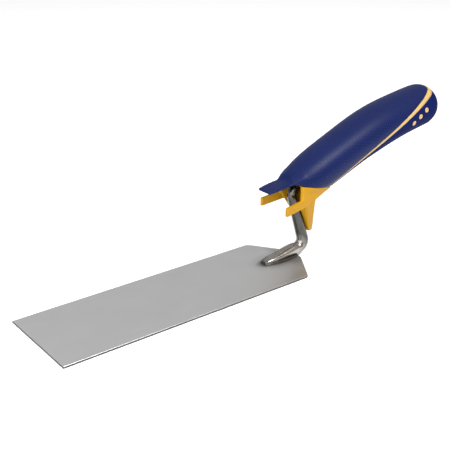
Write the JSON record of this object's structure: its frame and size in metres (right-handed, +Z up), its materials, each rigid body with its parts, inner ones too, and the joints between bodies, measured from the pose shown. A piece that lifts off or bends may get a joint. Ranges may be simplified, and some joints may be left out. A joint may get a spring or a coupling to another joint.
{
  "type": "margin trowel",
  "caption": "Margin trowel: flat rectangular steel blade with a tapered heel, cranked steel neck, and a soft contoured handle with a forked collar and thumb tongue",
  "frame": {"origin": "centre of the blade's flat underside, which works and which it rests on", "axes": "+X from the blade's tip edge to the butt of the handle, +Y across the blade to the user's right when the handle is nearest, +Z up out of the blade's top face"},
  "size_m": [0.2595, 0.0508, 0.0824],
  "materials": {
    "blade_steel": "satin, finely brushed",
    "shank_steel": "tumbled and polished",
    "weld_steel": "as welded, lightly brushed",
    "core_yellow": "satin moulded",
    "grip_textured": "soft, finely dotted",
    "grip_smooth": "soft, smooth",
    "mark_yellow": "satin moulded"
  },
  "bodies": {
    "root": {"blade": "blade_steel", "shank": "shank_steel", "shank_weld": "weld_steel", "handle_core": "core_yellow", "top_grip": "grip_textured", "lower_grip": "grip_smooth", "side_marks": "mark_yellow"}
  },
  "joints": []
}
